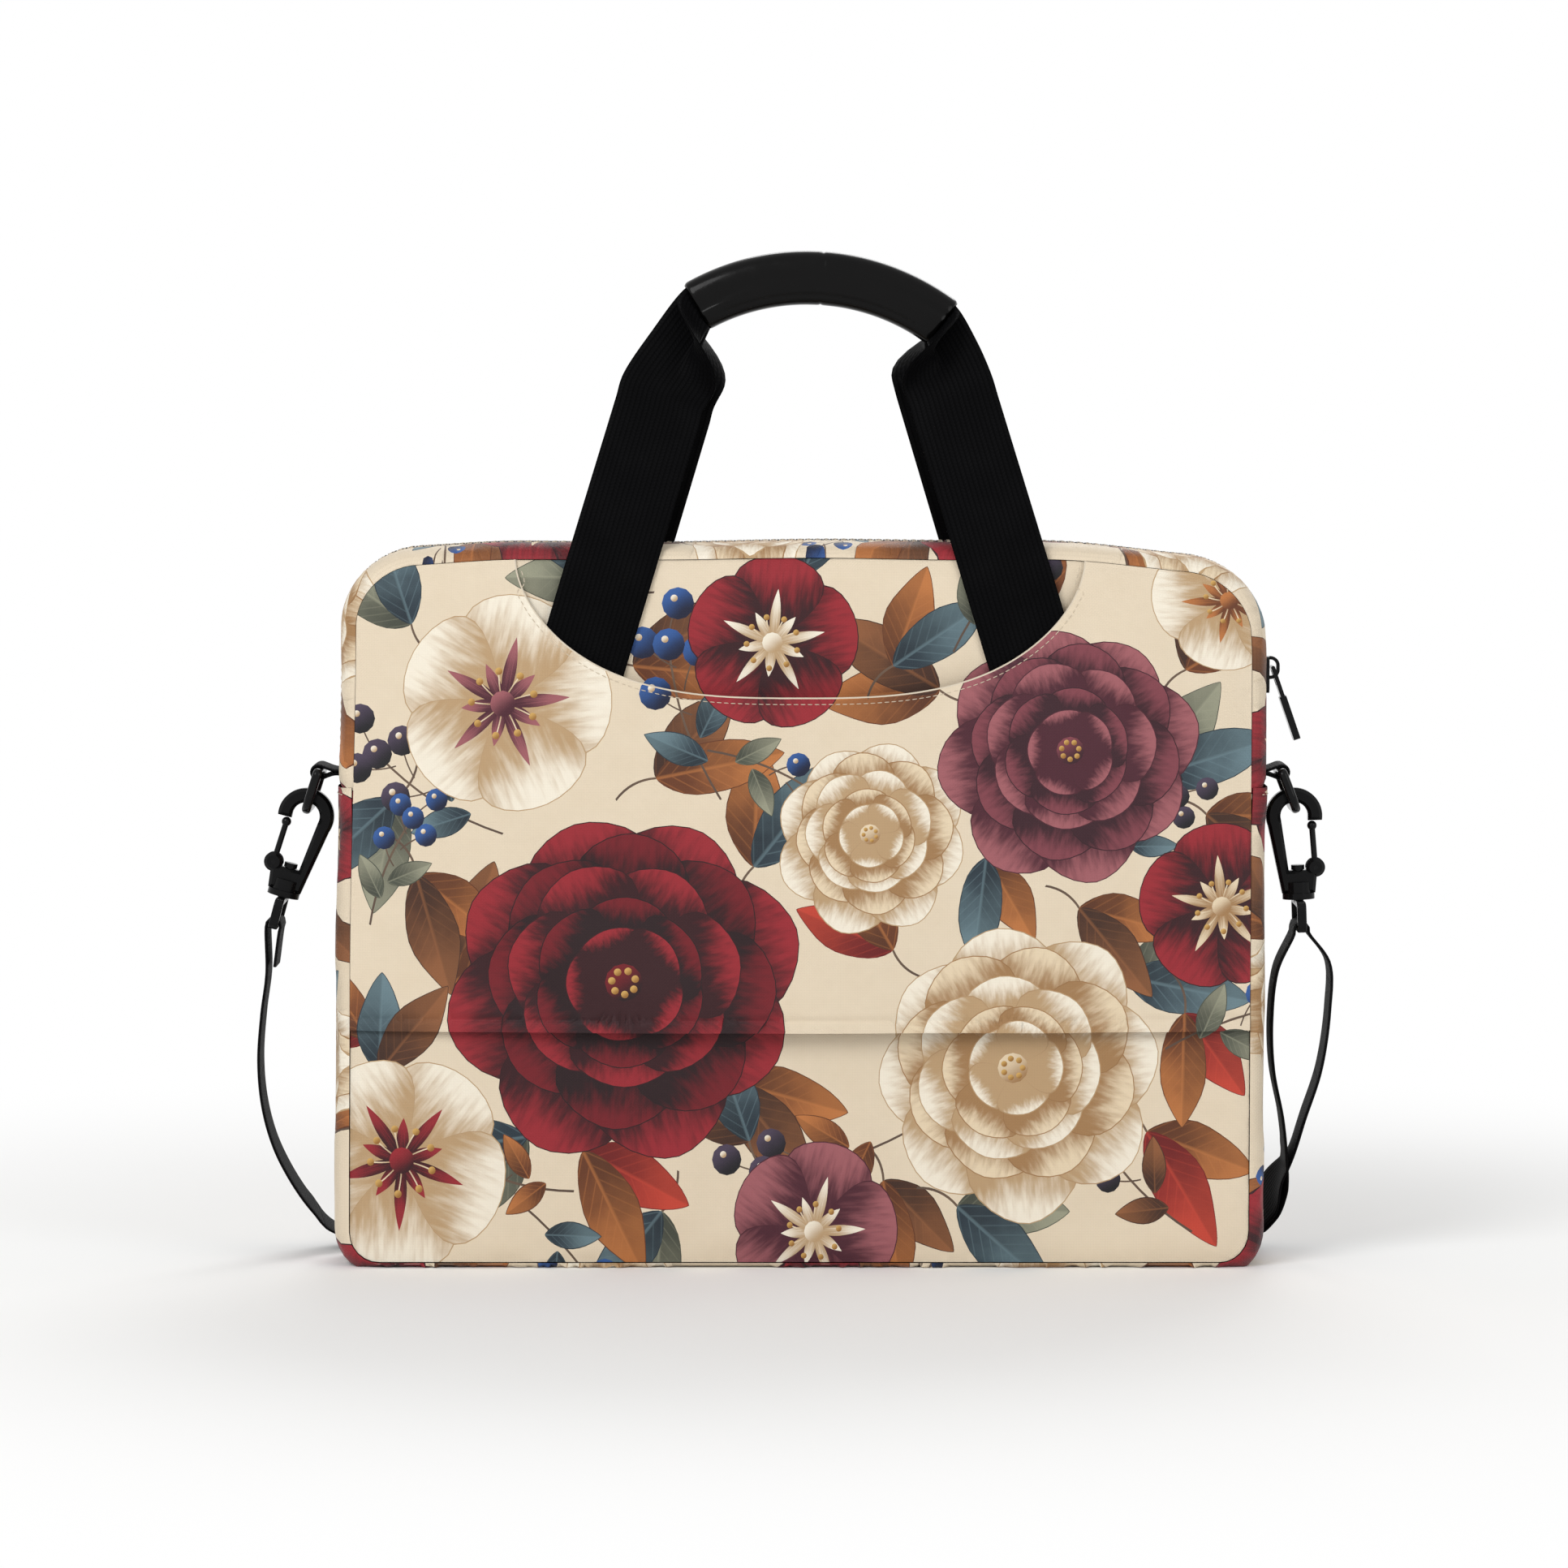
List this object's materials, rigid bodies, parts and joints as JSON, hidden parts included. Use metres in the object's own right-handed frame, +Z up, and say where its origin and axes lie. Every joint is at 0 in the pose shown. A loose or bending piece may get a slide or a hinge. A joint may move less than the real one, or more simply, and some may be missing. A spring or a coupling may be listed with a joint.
{
  "type": "laptop tote bag",
  "caption": "Soft printed laptop tote with a trolley sleeve on its back, webbing carry handles in a hand grip, a zip round the top and a clip-on shoulder strap.",
  "frame": {"origin": "on the ground under the middle of the bag's body", "axes": "+X across the bag to the right as seen from its sleeve side, +Y from the sleeve side to the front, +Z up"},
  "size_m": [0.468, 0.0943, 0.4403],
  "materials": {
    "printed_fabric": "matt woven canvas with a large floral print in cream, burgundy, rust and slate",
    "black_webbing": "ribbed woven webbing, slight sheen",
    "zip_tape": "fine herringbone tape",
    "zip_coil": "satin nylon coil",
    "glossy_wrap": "smooth glossy coated wrap",
    "black_metal": "glossy black coating",
    "black_plastic": "glossy moulded black",
    "lining_fabric": "plain thin lining cloth",
    "foam": "soft closed foam"
  },
  "bodies": {
    "bag": {"lower_gusset": "printed_fabric", "zip_gusset_back": "printed_fabric", "zip_gusset_front": "printed_fabric", "zip_tape_back": "zip_tape", "zip_tape_front": "zip_tape", "zip_chain": "zip_coil", "back_panel": "printed_fabric", "front_panel": "printed_fabric", "back_padding": "foam", "front_padding": "foam", "lining": "lining_fabric", "divider": "lining_fabric", "trolley_sleeve": "printed_fabric", "back_handle": "black_webbing", "front_handle": "black_webbing", "hand_grip": "glossy_wrap", "shoulder_strap": "black_webbing", "strap_slide": "black_plastic", "ring_tab_left": "black_webbing", "ring_tab_right": "black_webbing"},
    "slider": {"zip_slider": "black_metal"},
    "pull": {"zip_pull": "black_metal"},
    "left_ring": {"d_ring_left": "black_metal"},
    "left_hook": {"hook_left": "black_plastic", "gate_pin_left": "black_metal"},
    "left_gate": {"gate_left": "black_metal"},
    "left_swivel": {"swivel_left": "black_plastic"},
    "right_ring": {"d_ring_right": "black_metal"},
    "right_hook": {"hook_right": "black_plastic", "gate_pin_right": "black_metal"},
    "right_gate": {"gate_right": "black_metal"},
    "right_swivel": {"swivel_right": "black_plastic"}
  },
  "joints": [
    {"name": "zip_slide", "type": "slide", "parent": "bag", "child": "slider", "axis": [0, 0, 1], "range_m": [-0.005, 0.015]},
    {"name": "pull_swing", "type": "hinge", "parent": "slider", "child": "pull", "pos_m": [0.2055, 0, 0.26], "axis": [0, -1, 0], "range_deg": [-17, 140]},
    {"name": "ring_swing_left", "type": "hinge", "parent": "bag", "child": "left_ring", "pos_m": [-0.209, 0, 0.215], "axis": [0, 1, 0], "range_deg": [0, 45], "deforming": ["shoulder_strap"]},
    {"name": "hook_swing_left", "type": "hinge", "parent": "left_ring", "child": "left_hook", "pos_m": [-0.21425, 0, 0.19883], "axis": [0, 1, 0], "range_deg": [0, 35], "deforming": ["shoulder_strap"]},
    {"name": "gate_left_opens", "type": "hinge", "parent": "left_hook", "child": "left_gate", "pos_m": [-0.22942, 0, 0.17546], "axis": [0, 1, 0], "range_deg": [0, 26], "stiffness_Nm_per_rad": 0.02, "springref_deg": -11.46},
    {"name": "swivel_turn_left", "type": "hinge", "parent": "left_hook", "child": "left_swivel", "pos_m": [-0.2256, 0, 0.16036], "axis": [0.2588, 0, 0.9659], "range_deg": [-60, 60], "deforming": ["shoulder_strap"]},
    {"name": "ring_swing_right", "type": "hinge", "parent": "bag", "child": "right_ring", "pos_m": [0.209, 0, 0.215], "axis": [0, -1, 0], "range_deg": [0, 45], "deforming": ["shoulder_strap"]},
    {"name": "hook_swing_right", "type": "hinge", "parent": "right_ring", "child": "right_hook", "pos_m": [0.21509, 0, 0.19913], "axis": [0, -1, 0], "range_deg": [0, 35], "deforming": ["shoulder_strap"]},
    {"name": "gate_right_opens", "type": "hinge", "parent": "right_hook", "child": "right_gate", "pos_m": [0.22461, 0, 0.17295], "axis": [0, -1, 0], "range_deg": [0, 26], "stiffness_Nm_per_rad": 0.02, "springref_deg": -11.46},
    {"name": "swivel_turn_right", "type": "hinge", "parent": "right_hook", "child": "right_swivel", "pos_m": [0.21749, 0, 0.15909], "axis": [-0.0349, 0, 0.9994], "range_deg": [-60, 60], "deforming": ["shoulder_strap"]}
  ]
}
